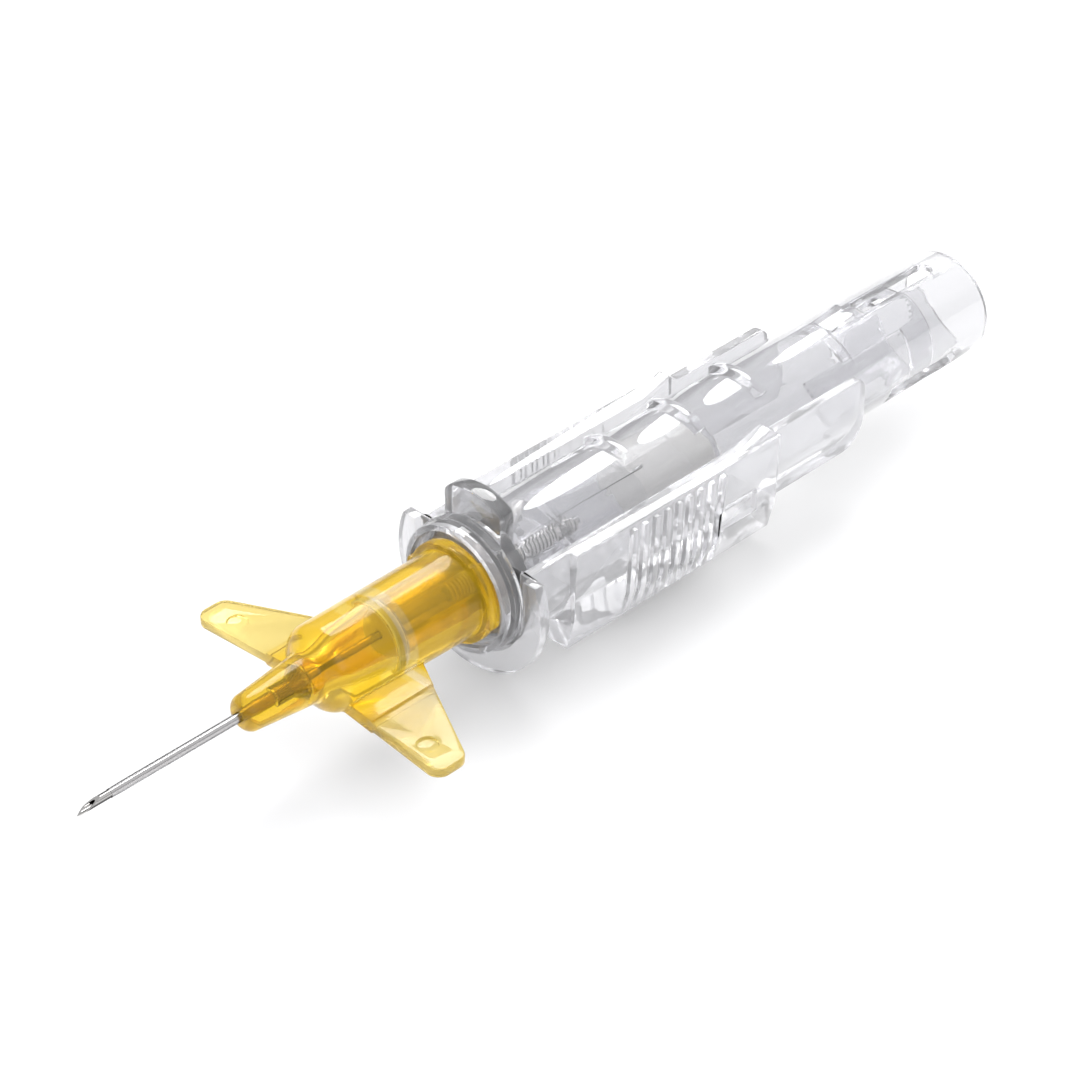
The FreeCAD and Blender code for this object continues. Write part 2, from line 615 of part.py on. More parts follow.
def arched(sketch, half_width, foot, corner, crown):
    """An upright plate with a shallow arch on top."""
    rise = f"(({crown}) - ({corner}))"
    radius = f"(({half_width})^2 + {rise}^2) / (2 * {rise})"
    left_corner = Vector(-number(half_width), number(corner), 0)
    right_corner = Vector(number(half_width), number(corner), 0)
    left_foot = Vector(-number(half_width), number(foot), 0)
    right_foot = Vector(number(half_width), number(foot), 0)
    top = Vector(0, number(crown), 0)
    sketch.addGeometry(Part.LineSegment(left_foot, right_foot), False)
    sketch.addGeometry(Part.LineSegment(right_foot, right_corner), False)
    sketch.addGeometry(Part.Arc(right_corner, top, left_corner), False)
    sketch.addGeometry(Part.LineSegment(left_corner, left_foot), False)
    pin(sketch, 0, 1, f"-({half_width})", foot)
    pin(sketch, 1, 1, half_width, foot)
    pin(sketch, 1, 2, half_width, corner)
    pin(sketch, 3, 1, f"-({half_width})", corner)
    sketch.addConstraint(Sketcher.Constraint("Coincident", 0, 2, 1, 1))
    sketch.addConstraint(Sketcher.Constraint("Coincident", 1, 2, 2, 1))
    sketch.addConstraint(Sketcher.Constraint("Coincident", 2, 2, 3, 1))
    sketch.addConstraint(Sketcher.Constraint("Coincident", 3, 2, 0, 1))
    index = sketch.addConstraint(Sketcher.Constraint("Radius", 2, number(radius)))
    sketch.setExpression(f"Constraints[{index}]", named(radius))


# Clear insert at the rear of the guard: a ring with four fingers that reach forward
def make_lock_insert():
    body = new_body("guard_lock_insert")
    sketch = along(body, "ring", INSERT_FRONT, f"{INSERT_FRONT} + insert_length")
    circle(sketch, GUARD_REAR_BORE)
    circle(sketch, "insert_bore_radius")
    fingers = (("near_top", "finger_turn"), ("far_top", "-finger_turn"),
               ("near_low", "180 - finger_turn"), ("far_low", "180 + finger_turn"))
    for name, turn in fingers:
        turned(body, name, [
            (FINGER_FRONT, "insert_bore_radius"),
            (f"{INSERT_FRONT} + bury", "insert_bore_radius"),
            (f"{INSERT_FRONT} + bury", GUARD_REAR_BORE),
            (FINGER_FRONT, GUARD_REAR_BORE),
        ], sweep="finger_sweep", turn=turn)
    return body


# Clear flash chamber with the boss that holds the needle and the web down to the handle floor
def make_flash_chamber():
    body = new_body("flash_chamber")
    inner_front = "chamber_front + chamber_front_wall"
    turned(body, "shell", [
        ("boss_front", "sleeve_radius"),
        ("boss_front", "boss_radius"),
        ("chamber_front", "boss_radius"),
        ("chamber_front", "chamber_radius"),
        ("chamber_rear", "chamber_radius"),
        ("chamber_rear", CHAMBER_BORE),
        (inner_front, CHAMBER_BORE),
        (inner_front, "sleeve_radius"),
    ])
    web = along(body, "web", "web_front", WEB_REAR)
    box(web, "-web_half_width", "web_half_width", f"-{WEB_BOTTOM}", "-sleeve_radius - bury")
    return body


# Porous plug that lets air out of the chamber
def make_vent_plug():
    body = new_body("vent_plug")
    sketch = along(body, "plug", "plug_front", "plug_front + plug_length")
    circle(sketch, CHAMBER_BORE)
    return body


# Clear handle: U-shaped flange, round neck, ribbed grip round the channel, thin side walls
def make_handle():
    body = new_body("handle")
    grip = along(body, "grip", "grip_front", "grip_rear")
    outline(grip, [
        ("-grip_half_width", "rail_height"),
        ("-grip_ledge_half_width", "-grip_ledge"),
        ("-grip_foot_half_width", f"-{FLOOR_BOTTOM}"),
        ("grip_foot_half_width", f"-{FLOOR_BOTTOM}"),
        ("grip_ledge_half_width", "-grip_ledge"),
        ("grip_half_width", "rail_height"),
    ])
    flange_rear = "flange_front + flange_thickness"
    circle(along(body, "neck_round", "flange_front", "grip_front"), "neck_radius")
    neck_sides = along(body, "neck_sides", "flange_front", "grip_front")
    box(neck_sides, "-neck_radius", "neck_radius", "0", "rail_height")
    circle(along(body, "flange", "flange_front", flange_rear), "flange_radius")
    rib = along(body, "rib", "rib_first", "rib_first + rib_width")
    outline(rib, [
        ("-grip_half_width - rib_rise", "rail_height - rib_rise"),
        ("-grip_ledge_half_width - rib_rise", "-grip_ledge"),
        ("-grip_foot_half_width - rib_rise", f"-{FLOOR_BOTTOM} + rib_rise"),
        ("grip_foot_half_width + rib_rise", f"-{FLOOR_BOTTOM} + rib_rise"),
        ("grip_ledge_half_width + rib_rise", "-grip_ledge"),
        ("grip_half_width + rib_rise", "rail_height - rib_rise"),
    ])
    repeat(body, "ribs", body.Tip, "Y_Axis", "rib_pitch", "rib_count")
    catch = sideways(body, "catch", "grip_half_width - catch_rise / 2")
    outline(catch, [
        ("catch_front", "rail_height - catch_rise / 2"),
        ("catch_front", "rail_height"),
        ("catch_crest", "rail_height + catch_rise"),
        ("grip_rear", "rail_height"),
        ("grip_rear", "rail_height - catch_rise / 2"),
    ])
    outer = f"{CHANNEL} + wall_thickness"
    wall = sideways(body, "side_walls", outer)
    box(wall, "grip_rear - 1", "wall_rear", "-wall_drop", "rail_height")
    walls = rounded(body, "wall_round", body.Tip, "wall_corner",
                    lambda edge, middle: is_wall_corner(edge, middle, "-wall_drop"))
    rounded(body, "wall_top_round", walls, "wall_top_corner",
            lambda edge, middle: is_wall_corner(edge, middle, "rail_height"))
    seat_rear = "disc_thickness + disc_seat_gap"
    for name, half, bottom, top, start, end in (
        ("above_ears", "flange_radius + 1", "flange_ear_height", OPEN_TOP, "-1", flange_rear),
        ("above_neck", "flange_radius + 1", "rail_height", OPEN_TOP, flange_rear, "grip_front"),
        ("channel", CHANNEL, "0", OPEN_TOP, "-1", "wall_rear + 1"),
        ("seat", "disc_radius + flange_gap", "0", OPEN_TOP, "-1", seat_rear),
        ("web_seat", "web_half_width", f"-{WEB_BOTTOM}", "0", "web_front", WEB_REAR),
    ):
        cut = along(body, name, start, end, "PartDesign::Pocket")
        box(cut, f"-({half})", half, bottom, top)
    for name, radius, end in (
        ("channel_round", CHANNEL, "wall_rear + 1"),
        ("seat_round", "disc_radius + flange_gap", seat_rear),
    ):
        circle(along(body, name, "-1", end, "PartDesign::Pocket"), radius)
    recess = new_sketch(body, "recess_sketch", "YZ_Plane", "grip_ledge_half_width - recess_depth")
    box(recess, "recess_front", "recess_front + recess_length", "-recess_top - recess_height", "-recess_top")
    pocket = body.newObject("PartDesign::Pocket", "recess")
    pocket.Profile = recess
    pocket.Reversed = True
    pocket.setExpression("Length", named("recess_depth + 1"))
    mirror(body, "far_recess", pocket)
    return body


def is_wall_corner(edge, middle, height):
    """True for the edges across the thin walls at their rear end, at this height."""
    at_rear = abs(middle.y - number("wall_rear")) < 1e-3
    return at_rear and abs(middle.z - number(height)) < 1e-3


makers = (
    make_handle,
    make_flash_chamber,
    make_vent_plug,
    make_needle,
    make_needle_sleeve,
    make_needle_guard,
    make_lock_insert,
    make_catheter_hub,
    make_hub_seal,
    make_eyelet,
    make_catheter_tube,
)
parts = [make() for make in makers]
doc.recompute()

for thing in doc.Objects:
    if "Invalid" in thing.State or "Error" in thing.State:
        raise RuntimeError(f"{thing.Name} failed: {thing.State}")
for part in parts:
    if part.Shape.isNull() or not part.Shape.isValid():
        raise RuntimeError(f"{part.Label} has no valid shape")
    if len(part.Shape.Solids) != 1:
        raise RuntimeError(f"{part.Label} has {len(part.Shape.Solids)} solids")
for part in parts:
    part.Shape.exportStep(f"parts/{part.Label}.step")
    box_of = part.Shape.BoundBox
    print(f"{part.Label}: volume {part.Shape.Volume:.3f}, faces {len(part.Shape.Faces)}, "
          f"x {box_of.XMin:.2f} {box_of.XMax:.2f}, y {box_of.YMin:.2f} {box_of.YMax:.2f}, "
          f"z {box_of.ZMin:.2f} {box_of.ZMax:.2f}")
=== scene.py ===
import math

import bmesh
import bpy
from bpy.props import FloatProperty, FloatVectorProperty, PointerProperty
from mathutils import Matrix, Vector
from mathutils.bvhtree import BVHTree


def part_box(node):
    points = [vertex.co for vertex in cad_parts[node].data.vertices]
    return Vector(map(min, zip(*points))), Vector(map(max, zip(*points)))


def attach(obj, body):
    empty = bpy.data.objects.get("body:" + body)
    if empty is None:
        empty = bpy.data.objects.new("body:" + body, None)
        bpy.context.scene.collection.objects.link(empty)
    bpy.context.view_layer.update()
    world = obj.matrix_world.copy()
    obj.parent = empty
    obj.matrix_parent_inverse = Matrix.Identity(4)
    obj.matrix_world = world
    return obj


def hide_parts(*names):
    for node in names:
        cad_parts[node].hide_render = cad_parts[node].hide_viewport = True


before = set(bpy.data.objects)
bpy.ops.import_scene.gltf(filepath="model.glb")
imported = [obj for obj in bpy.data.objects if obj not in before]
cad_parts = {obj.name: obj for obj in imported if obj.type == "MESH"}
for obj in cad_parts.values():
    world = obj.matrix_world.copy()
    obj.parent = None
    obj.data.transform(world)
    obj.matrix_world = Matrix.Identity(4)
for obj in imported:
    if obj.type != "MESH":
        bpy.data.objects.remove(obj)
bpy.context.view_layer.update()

bl_info = {
    "name": "Winged safety cannula",
    "version": (1, 0, 0),
    "blender": (4, 5, 0),
    "location": "View3D > Sidebar > Cannula",
    "description": "Dresses a winged cannula with its clear needle guard and handle",
    "category": "Object",
}

MM = 0.001
NEEDLE_AXIS = 7.1 * MM      # height of the needle over the floor
WELD_GAP = 0.002 * MM       # corners closer than this are one corner
FLAT_ANGLE = math.radians(0.3)
EDGE_ANGLE = math.radians(35)
COLOUR_A, COLOUR_B, COLOUR_OUT = 6, 7, 2    # colour sockets of a Mix node


# sizes and colours that a user would change

class CannulaPlastics(bpy.types.PropertyGroup):
    clear_tint: FloatVectorProperty(
        name="Clear tint", description="Colour of the clear mouldings before each is greyed",
        subtype="COLOR", size=3, min=0, max=1, default=(0.94, 0.94, 0.96))
    edge_round: FloatProperty(
        name="Edge round", description="Radius on the edges of the clear mouldings",
        unit="LENGTH", min=0, default=0.12 * MM, precision=5)
    hub_colour: FloatVectorProperty(
        name="Hub colour", description="Colour of the thick parts of the hub",
        subtype="COLOR", size=3, min=0, max=1, default=(0.87, 0.57, 0.03))
    wing_colour: FloatVectorProperty(
        name="Wing colour", description="Colour of the thin wing panels",
        subtype="COLOR", size=3, min=0, max=1, default=(0.88, 0.7, 0.22))
    plug_colour: FloatVectorProperty(
        name="Plug colour", description="Colour of the porous vent plug",
        subtype="COLOR", size=3, min=0, max=1, default=(1.0, 0.99, 0.95))


class CannulaSteel(bpy.types.PropertyGroup):
    steel_colour: FloatVectorProperty(
        name="Steel colour", description="Colour of the needle",
        subtype="COLOR", size=3, min=0, max=1, default=(0.6, 0.59, 0.58))
    wire_radius: FloatProperty(
        name="Wire radius", description="Half the thickness of the wire wound on the needle",
        unit="LENGTH", min=0, default=0.14 * MM, precision=5)
    wire_pitch: FloatProperty(
        name="Wire pitch", description="Distance between the turns of the wire",
        unit="LENGTH", min=0.05 * MM, default=0.36 * MM, precision=5)


class CannulaStage(bpy.types.PropertyGroup):
    floor_colour: FloatVectorProperty(
        name="Floor colour", description="Colour of the floor",
        subtype="COLOR", size=3, min=0, max=1, default=(0.9, 0.9, 0.905))
    key_power: FloatProperty(
        name="Key light", description="Power of the large soft light on the far side",
        unit="POWER", min=0, default=2.2)
    fill_power: FloatProperty(
        name="Fill light", description="Power of the soft light on the near side",
        unit="POWER", min=0, default=0.45)


# small helpers

def add_node(tree, kind, **values):
    node = tree.nodes.new(kind)
    for name, value in values.items():
        setattr(node, name, value)
    return node


def link(tree, start, end):
    tree.links.new(start, end)


def add_socket(group, name, direction, kind, default=None):
    socket = group.interface.new_socket(name=name, in_out=direction, socket_type=kind)
    if default is not None:
        socket.default_value = default


def darker(colour, share):
    """A colour with each channel cut to a share of itself."""
    return [channel * share for channel in colour]


def moulded_skin():
    """Shader group: slow flow marks and fine polish of a moulded surface, as roughness and height."""
    group = bpy.data.node_groups.get("moulded_skin")
    if group:
        return group
    group = bpy.data.node_groups.new("moulded_skin", "ShaderNodeTree")
    add_socket(group, "Flow Scale", "INPUT", "NodeSocketFloat", 300.0)
    add_socket(group, "Grain Scale", "INPUT", "NodeSocketFloat", 6000.0)
    add_socket(group, "Smooth Roughness", "INPUT", "NodeSocketFloat", 0.03)
    add_socket(group, "Dull Roughness", "INPUT", "NodeSocketFloat", 0.12)
    add_socket(group, "Roughness", "OUTPUT", "NodeSocketFloat")
    add_socket(group, "Height", "OUTPUT", "NodeSocketFloat")
    start = add_node(group, "NodeGroupInput")
    end = add_node(group, "NodeGroupOutput")
    place = add_node(group, "ShaderNodeTexCoord")
    flow = add_node(group, "ShaderNodeTexNoise")
    flow.inputs["Detail"].default_value = 2.0
    grain = add_node(group, "ShaderNodeTexNoise")
    grain.inputs["Detail"].default_value = 1.0
    link(group, place.outputs["Object"], flow.inputs["Vector"])
    link(group, place.outputs["Object"], grain.inputs["Vector"])
    link(group, start.outputs["Flow Scale"], flow.inputs["Scale"])
    link(group, start.outputs["Grain Scale"], grain.inputs["Scale"])
    spread = add_node(group, "ShaderNodeMapRange")
    spread.inputs["From Min"].default_value = 0.35
    spread.inputs["From Max"].default_value = 0.75
    link(group, flow.outputs["Fac"], spread.inputs["Value"])
    link(group, start.outputs["Smooth Roughness"], spread.inputs["To Min"])
    link(group, start.outputs["Dull Roughness"], spread.inputs["To Max"])
    link(group, spread.outputs["Result"], end.inputs["Roughness"])
    both = add_node(group, "ShaderNodeMath", operation="MULTIPLY_ADD")
    both.inputs[1].default_value = 0.15
    link(group, grain.outputs["Fac"], both.inputs[0])
    link(group, flow.outputs["Fac"], both.inputs[2])
    link(group, both.outputs["Value"], end.inputs["Height"])
    return group


def new_material(name):
    material = bpy.data.materials.new(name)
    material.use_nodes = True
    tree = material.node_tree
    tree.nodes.clear()
    shader = add_node(tree, "ShaderNodeBsdfPrincipled")
    out = add_node(tree, "ShaderNodeOutputMaterial")
    link(tree, shader.outputs["BSDF"], out.inputs["Surface"])
    return material, tree, shader


def skin_on(tree, shader, smooth, dull, flow, grain, bump):
    """Lay the moulded skin over a shader."""
    skin = add_node(tree, "ShaderNodeGroup", node_tree=moulded_skin())
    skin.inputs["Flow Scale"].default_value = flow
    skin.inputs["Grain Scale"].default_value = grain
    skin.inputs["Smooth Roughness"].default_value = smooth
    skin.inputs["Dull Roughness"].default_value = dull
    link(tree, skin.outputs["Roughness"], shader.inputs["Roughness"])
    relief = add_node(tree, "ShaderNodeBump")
    relief.inputs["Strength"].default_value = bump
    relief.inputs["Distance"].default_value = 0.02 * MM
    link(tree, skin.outputs["Height"], relief.inputs["Height"])
    link(tree, relief.outputs["Normal"], shader.inputs["Normal"])


def let_light_through(tree, shader, shade):
    """Lamp light and soft light cross a surface of the plastic, less the share that it shades."""
    path = add_node(tree, "ShaderNodeLightPath")
    level = add_node(tree, "ShaderNodeMapRange")
    soft = add_node(tree, "ShaderNodeMath", operation="MAXIMUM")
    link(tree, path.outputs["Is Shadow Ray"], soft.inputs[0])
    link(tree, path.outputs["Is Diffuse Ray"], soft.inputs[1])
    link(tree, soft.outputs["Value"], level.inputs["Value"])
    level.inputs["To Min"].default_value = 1.0
    level.inputs["To Max"].default_value = shade
    link(tree, level.outputs["Result"], shader.inputs["Alpha"])


def clear_plastic(name, tint, index=1.2, haze=0.07, painted_rim_shade=0.7, gloss=1.0, shade=0.06):
    """Clear moulded plastic: faint haze, a tint that drifts with the melt, painted shade edge-on.

    index bends the light, haze is the milky share, rim the level of the painted shade edge-on, gloss the
    polish and shade the share of light that each surface stops.
    """
    material, tree, shader = new_material(name)
    let_light_through(tree, shader, shade)
    skin_on(tree, shader, 0.0, 0.012, 260.0, 5000.0, 0.03)
    place = add_node(tree, "ShaderNodeTexCoord")
    drift = add_node(tree, "ShaderNodeTexNoise")
    drift.inputs["Scale"].default_value = 140.0
    drift.inputs["Detail"].default_value = 1.0
    link(tree, place.outputs["Object"], drift.inputs["Vector"])
    melt = add_node(tree, "ShaderNodeValToRGB")
    melt.color_ramp.elements[0].position = 0.3
    melt.color_ramp.elements[1].position = 0.7
    melt.color_ramp.elements[0].color = (*darker(tint, 0.985), 1)
    melt.color_ramp.elements[1].color = (*tint, 1)
    link(tree, drift.outputs["Fac"], melt.inputs["Fac"])
    # painted shade: the tint greys towards rim where the surface turns edge-on
    link(tree, painted_edge_shade(tree, melt.outputs["Color"], 0.55, 1.0, painted_rim_shade), shader.inputs["Base Color"])
    shader.inputs["Transmission Weight"].default_value = 1.0 - haze
    shader.inputs["IOR"].default_value = index
    shader.inputs["Coat Weight"].default_value = gloss
    shader.inputs["Coat Roughness"].default_value = 0.02
    shader.inputs["Coat IOR"].default_value = 1.5
    return material


def painted_edge_shade(tree, colour, start, end, depth):
    """Painted shade: darken a colour to depth where the surface turns away, from facing value start to
    end.
    """
    facing = add_node(tree, "ShaderNodeLayerWeight")
    facing.inputs["Blend"].default_value = 0.5
    level = add_node(tree, "ShaderNodeMapRange")
    level.inputs["From Min"].default_value = start
    level.inputs["From Max"].default_value = end
    level.inputs["To Min"].default_value = 1.0
    level.inputs["To Max"].default_value = depth
    link(tree, facing.outputs["Facing"], level.inputs["Value"])
    scaled = add_node(tree, "ShaderNodeVectorMath", operation="SCALE")
    link(tree, colour, scaled.inputs[0])
    link(tree, level.outputs["Result"], scaled.inputs["Scale"])
    return scaled.outputs["Vector"]


def merged_copy(node, name, round_by=0.0, sharp=28.0):
    """A smooth copy of a solid of the frame, with its edges rounded by round_by."""
    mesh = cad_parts[node].data.copy()
    mesh.name = name
    work = bmesh.new()
    work.from_mesh(mesh)
    bmesh.ops.remove_doubles(work, verts=work.verts, dist=WELD_GAP)
    bmesh.ops.dissolve_degenerate(work, dist=WELD_GAP, edges=work.edges)
    bmesh.ops.dissolve_limit(work, angle_limit=FLAT_ANGLE, verts=work.verts, edges=work.edges)
    work.to_mesh(mesh)
    surface = BVHTree.FromBMesh(work)
    work.free()
    mesh.materials.clear()
    if "custom_normal" in mesh.attributes:
        mesh.attributes.remove(mesh.attributes["custom_normal"])
    piece = bpy.data.objects.new(name, mesh)
    bpy.context.scene.collection.objects.link(piece)
    if round_by > 0:
        soft = piece.modifiers.new("edge round", "BEVEL")
        soft.width = round_by
        soft.segments = 2
        soft.limit_method = "ANGLE"
        soft.angle_limit = EDGE_ANGLE
        soft.use_clamp_overlap = False
        soft.miter_outer = "MITER_ARC"
        piece = baked(piece, name)
        keep_on(piece, surface, round_by * 0.6)
    smooth_by_angle(piece, sharp)
    return piece


def keep_on(piece, surface, reach):
    """Corners that the rounding threw off the moulding go back onto it."""
    for vertex in piece.data.vertices:
        spot, _, _, gap = surface.find_nearest(vertex.co)
        if gap > reach:
            vertex.co = spot


def baked(piece, name):
    """The evaluated shape of a piece as a plain mesh object at the origin."""
    graph = bpy.context.evaluated_depsgraph_get()
    graph.update()
    mesh = bpy.data.meshes.new_from_object(piece.evaluated_get(graph))
    mesh.name = name
    bpy.data.objects.remove(piece)
    done = bpy.data.objects.new(name, mesh)
    bpy.context.scene.collection.objects.link(done)
    return done


def smooth_by_angle(piece, angle):
    piece.data.shade_smooth()
    piece.data.set_sharp_from_angle(angle=math.radians(angle))


def dress(piece, material, body, slot_name, *nodes):
    """Give a piece its material and its body, and hide the nodes that it stands for; slot_name is not
    used.
    """
    piece.data.materials.clear()
    piece.data.materials.append(material)
    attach(piece, body)
    if nodes:
        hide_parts(*nodes)


# pieces

class CANNULA_OT_handle(bpy.types.Operator):
    """Clear handle with its flange, ribbed grip and side walls"""
    bl_idname = "cannula.handle"
    bl_label = "Handle"

    def execute(self, context):
        plastics = context.scene.cannula_plastics
        tint = darker(plastics.clear_tint, 0.97)
        material = clear_plastic("clear_handle_plastic", tint, haze=0.28, shade=0.2)
        piece = merged_copy("handle", "clear_handle", plastics.edge_round)
        dress(piece, material, "handle_body", "clear_handle", "handle")
        return {"FINISHED"}


class CANNULA_OT_guard(bpy.types.Operator):
    """Clear needle guard with its tab, hoops and windows, and its rear insert"""
    bl_idname = "cannula.guard"
    bl_label = "Needle guard"

    def execute(self, context):
        plastics = context.scene.cannula_plastics
        tint = darker(plastics.clear_tint, 0.85)
        # rim sets the painted shade on the guard's edges
        material = clear_plastic(
            "clear_guard_plastic", tint, index=1.25, haze=0.14, painted_rim_shade=0.5, gloss=0.8, shade=0.12)
        piece = merged_copy("needle_guard", "clear_needle_guard", plastics.edge_round)
        dress(piece, material, "guard_body", "clear_guard", "needle_guard")
        inner = clear_plastic("clear_insert_plastic", darker(plastics.clear_tint, 0.9), index=1.3)
        piece = merged_copy("guard_lock_insert", "clear_lock_insert", plastics.edge_round)
        dress(piece, inner, "guard_body", "clear_insert", "guard_lock_insert")
        return {"FINISHED"}


class CANNULA_OT_chamber(bpy.types.Operator):
    """Clear flash chamber and the porous plug that vents it"""
    bl_idname = "cannula.chamber"
    bl_label = "Flash chamber"

    def execute(self, context):
        plastics = context.scene.cannula_plastics
        material = clear_plastic("clear_chamber_plastic", plastics.clear_tint, shade=0.02)
        piece = merged_copy("flash_chamber", "clear_flash_chamber", plastics.edge_round)
        dress(piece, material, "handle_body", "clear_chamber", "flash_chamber")
        plug, tree, shader = new_material("porous_plug")
        skin_on(tree, shader, 0.6, 0.8, 900.0, 9000.0, 0.5)
        place = add_node(tree, "ShaderNodeTexCoord")
        pores = add_node(tree, "ShaderNodeTexVoronoi")
        pores.inputs["Scale"].default_value = 4200.0
        link(tree, place.outputs["Object"], pores.inputs["Vector"])
        shade = add_node(tree, "ShaderNodeValToRGB")
        shade.color_ramp.elements[0].position = 0.05
        shade.color_ramp.elements[1].position = 0.5
        shade.color_ramp.elements[0].color = (*darker(plastics.plug_colour, 0.86), 1)
        shade.color_ramp.elements[1].color = (*plastics.plug_colour, 1)
        link(tree, pores.outputs["Distance"], shade.inputs["Fac"])
        link(tree, shade.outputs["Color"], shader.inputs["Base Color"])
        piece = merged_copy("vent_plug", "porous_vent_plug")
        dress(piece, plug, "handle_body", "plug_porous", "vent_plug")
        return {"FINISHED"}


class CANNULA_OT_hub(bpy.types.Operator):
    """Coloured hub with its wings, and the seal ring inside it"""
    bl_idname = "cannula.hub"
    bl_label = "Hub and wings"

    def execute(self, context):
        plastics = context.scene.cannula_plastics
        material, tree, shader = new_material("hub_plastic")
        skin_on(tree, shader, 0.09, 0.17, 300.0, 5000.0, 0.05)
        let_light_through(tree, shader, 0.14)
        place = add_node(tree, "ShaderNodeTexCoord")
        apart = add_node(tree, "ShaderNodeSeparateXYZ")
        link(tree, place.outputs["Object"], apart.inputs["Vector"])
        side = add_node(tree, "ShaderNodeMath", operation="ABSOLUTE")
        link(tree, apart.outputs["X"], side.inputs[0])
        thin = add_node(tree, "ShaderNodeMapRange")
        thin.inputs["From Min"].default_value = 4.6 * MM
        thin.inputs["From Max"].default_value = 5.8 * MM
        link(tree, side.outputs["Value"], thin.inputs["Value"])
        blend = add_node(tree, "ShaderNodeMix", data_type="RGBA")
        link(tree, thin.outputs["Result"], blend.inputs["Factor"])
        blend.inputs[COLOUR_A].default_value = (*plastics.hub_colour, 1)
        blend.inputs[COLOUR_B].default_value = (*plastics.wing_colour, 1)
        # paler band where the seal touches the wall of the bore
        low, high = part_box("hub_seal")
        along = add_node(tree, "ShaderNodeMath", operation="SUBTRACT")
        along.inputs[1].default_value = (low.y + high.y) / 2
        link(tree, apart.outputs["Y"], along.inputs[0])
        off_seal = add_node(tree, "ShaderNodeMath", operation="ABSOLUTE")
        link(tree, along.outputs["Value"], off_seal.inputs[0])
        touch = add_node(tree, "ShaderNodeMapRange", interpolation_type="SMOOTHSTEP")
        touch.inputs["From Min"].default_value = 0.45 * MM
        touch.inputs["From Max"].default_value = 0.65 * MM
        touch.inputs["To Min"].default_value = 0.75
        touch.inputs["To Max"].default_value = 0.0
        link(tree, off_seal.outputs["Value"], touch.inputs["Value"])
        banded = add_node(tree, "ShaderNodeMix", data_type="RGBA")
        link(tree, touch.outputs["Result"], banded.inputs["Factor"])
        link(tree, blend.outputs[COLOUR_OUT], banded.inputs[COLOUR_A])
        banded.inputs[COLOUR_B].default_value = (0.9, 0.78, 0.5, 1)
        link(tree, banded.outputs[COLOUR_OUT], shader.inputs["Base Color"])
        shader.inputs["Transmission Weight"].default_value = 0.85
        shader.inputs["IOR"].default_value = 1.38
        piece = merged_copy("catheter_hub", "winged_hub", plastics.edge_round)
        dress(piece, material, "catheter_body", "hub_yellow", "catheter_hub")
        seal, tree, shader = new_material("seal_rubber")
        skin_on(tree, shader, 0.35, 0.5, 800.0, 9000.0, 0.3)
        shader.inputs["Base Color"].default_value = (0.85, 0.8, 0.66, 1)
        shader.inputs["Transmission Weight"].default_value = 0.35
        piece = merged_copy("hub_seal", "seal_ring")
        dress(piece, seal, "catheter_body", "seal_white", "hub_seal")
        return {"FINISHED"}


class CANNULA_OT_catheter(bpy.types.Operator):
    """Thin clear catheter tube and the metal eyelet that holds it"""
    bl_idname = "cannula.catheter"
    bl_label = "Catheter tube"

    def execute(self, context):
        plastics = context.scene.cannula_plastics
        # rim sets the painted shade on the catheter's edges
        material = clear_plastic(
            "catheter_plastic", plastics.clear_tint, index=1.36, haze=0.0, painted_rim_shade=0.6, gloss=0.15)
        piece = merged_copy("catheter_tube", "catheter_sleeve")
        self.draw_tight(piece)
        dress(piece, material, "catheter_body", "catheter_clear", "catheter_tube")
        metal = steel("eyelet_metal", (0.46, 0.36, 0.2), 0.25)
        piece = merged_copy("eyelet", "metal_eyelet")
        dress(piece, metal, "catheter_body", "eyelet_steel", "eyelet")
        return {"FINISHED"}

    def draw_tight(self, piece):
        """The bore lies on the steel, so no air shows between them."""
        low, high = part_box("needle")
        steel_radius = (high.x - low.x) / 2
        for vertex in piece.data.vertices:
            across, up = vertex.co.x, vertex.co.z - NEEDLE_AXIS
            reach = math.hypot(across, up)
            if reach < steel_radius + 0.025 * MM:
                pull = (steel_radius - 0.002 * MM) / reach
                vertex.co.x = across * pull
                vertex.co.z = NEEDLE_AXIS + up * pull


def steel(name, colour, roughness):
    """Drawn steel with fine lines along the needle, with painted shade that makes it nearly black at its
    sides.
    """
    # painted shade: colour level at the sides, where the steel turns away
    painted_side_shade = 0.015
    material, tree, shader = new_material(name)
    place = add_node(tree, "ShaderNodeTexCoord")
    stretch = add_node(tree, "ShaderNodeMapping")
    stretch.inputs["Scale"].default_value = (9000, 60, 9000)
    lines = add_node(tree, "ShaderNodeTexNoise")
    lines.inputs["Scale"].default_value = 1.0
    lines.inputs["Detail"].default_value = 2.0
    link(tree, place.outputs["Object"], stretch.inputs["Vector"])
    link(tree, stretch.outputs["Vector"], lines.inputs["Vector"])
    spread = add_node(tree, "ShaderNodeMapRange")
    spread.inputs["To Min"].default_value = roughness * 0.7
    spread.inputs["To Max"].default_value = roughness * 1.4
    link(tree, lines.outputs["Fac"], spread.inputs["Value"])
    link(tree, spread.outputs["Result"], shader.inputs["Roughness"])
    relief = add_node(tree, "ShaderNodeBump")
    relief.inputs["Strength"].default_value = 0.03
    relief.inputs["Distance"].default_value = 0.004 * MM
    link(tree, lines.outputs["Fac"], relief.inputs["Height"])
    link(tree, relief.outputs["Normal"], shader.inputs["Normal"])
    tone = add_node(tree, "ShaderNodeValToRGB")
    tone.color_ramp.elements[0].color = (*darker(colour, 0.93), 1)
    tone.color_ramp.elements[1].color = (*colour, 1)
    link(tree, lines.outputs["Fac"], tone.inputs["Fac"])
    link(tree, painted_edge_shade(tree, tone.outputs["Color"], 0.21, 0.42, painted_side_shade), shader.inputs["Base Color"])
    shader.inputs["Metallic"].default_value = 1.0
    return material


